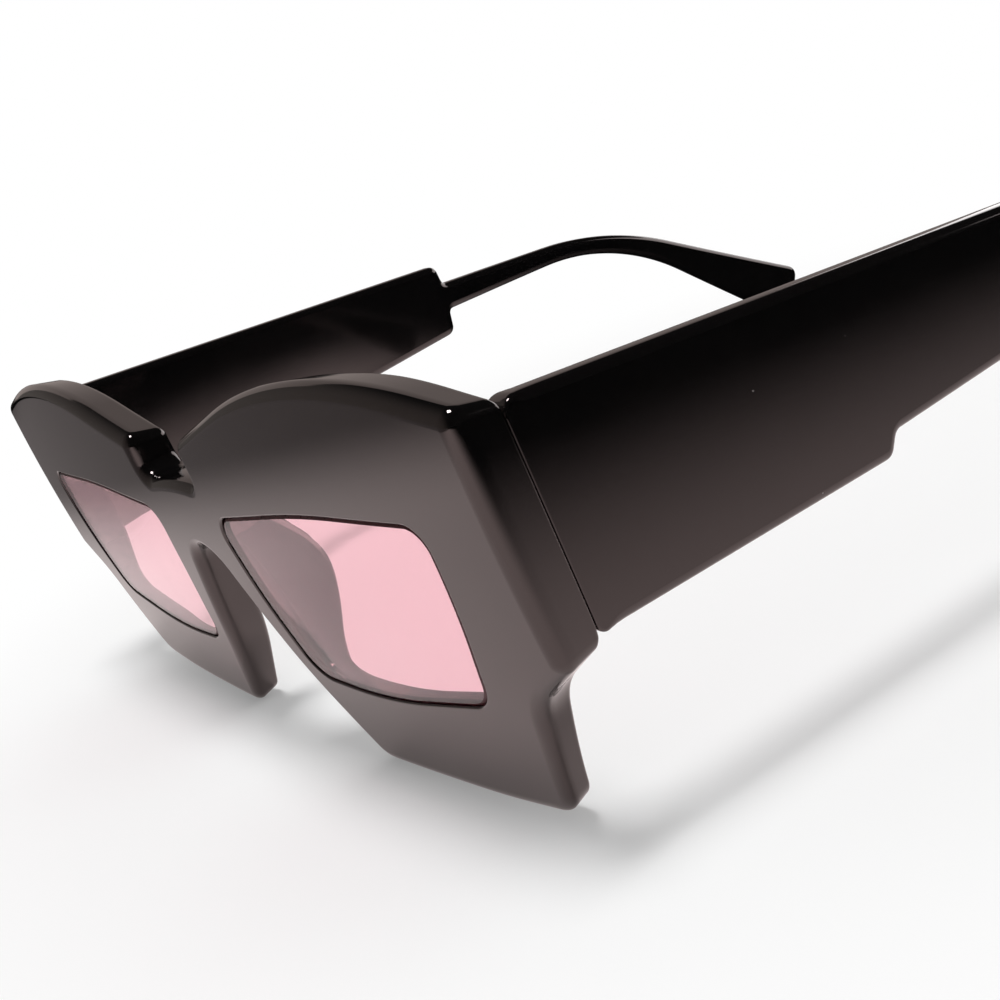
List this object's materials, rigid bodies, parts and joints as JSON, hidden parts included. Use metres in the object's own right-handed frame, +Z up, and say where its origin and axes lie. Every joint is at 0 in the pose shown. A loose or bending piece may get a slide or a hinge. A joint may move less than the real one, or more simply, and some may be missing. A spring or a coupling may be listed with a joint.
{
  "type": "rectangular sunglasses",
  "caption": "Rectangular sunglasses with a thick glossy black front, a notched brow, hanging lower lobes, pale pink lenses and wide flat temples that fold on screw hinges.",
  "frame": {"origin": "centre of the bounding box in X and Y, on the floor that the lobes and the temple tips stand on", "axes": "+X to the wearer's left (right in the front view), +Y from the front back along the temples, +Z up"},
  "size_m": [0.148, 0.1716, 0.0508],
  "materials": {
    "black_plastic": "polished black moulded plastic",
    "lens": "clear pale pink tint",
    "hinge": "satin nickel"
  },
  "bodies": {
    "front": {"front_frame": "black_plastic", "lens_left": "lens", "lens_right": "lens", "hinge_front_leaf_left": "hinge", "hinge_front_leaf_right": "hinge", "hinge_screw_left": "hinge", "hinge_screw_right": "hinge"},
    "temple_left": {"temple_left": "black_plastic", "hinge_temple_leaf_left": "hinge"},
    "temple_right": {"temple_right": "black_plastic", "hinge_temple_leaf_right": "hinge"}
  },
  "joints": [
    {"name": "temple_left_fold", "type": "hinge", "parent": "front", "child": "temple_left", "pos_m": [0.0639, -0.07434, 0.0346], "axis": [0, -0.0767, 0.9971], "range_deg": [0, 93.8]},
    {"name": "temple_right_fold", "type": "hinge", "parent": "front", "child": "temple_right", "pos_m": [-0.0639, -0.07434, 0.0346], "axis": [0, 0.0767, -0.9971], "range_deg": [0, 85]}
  ]
}
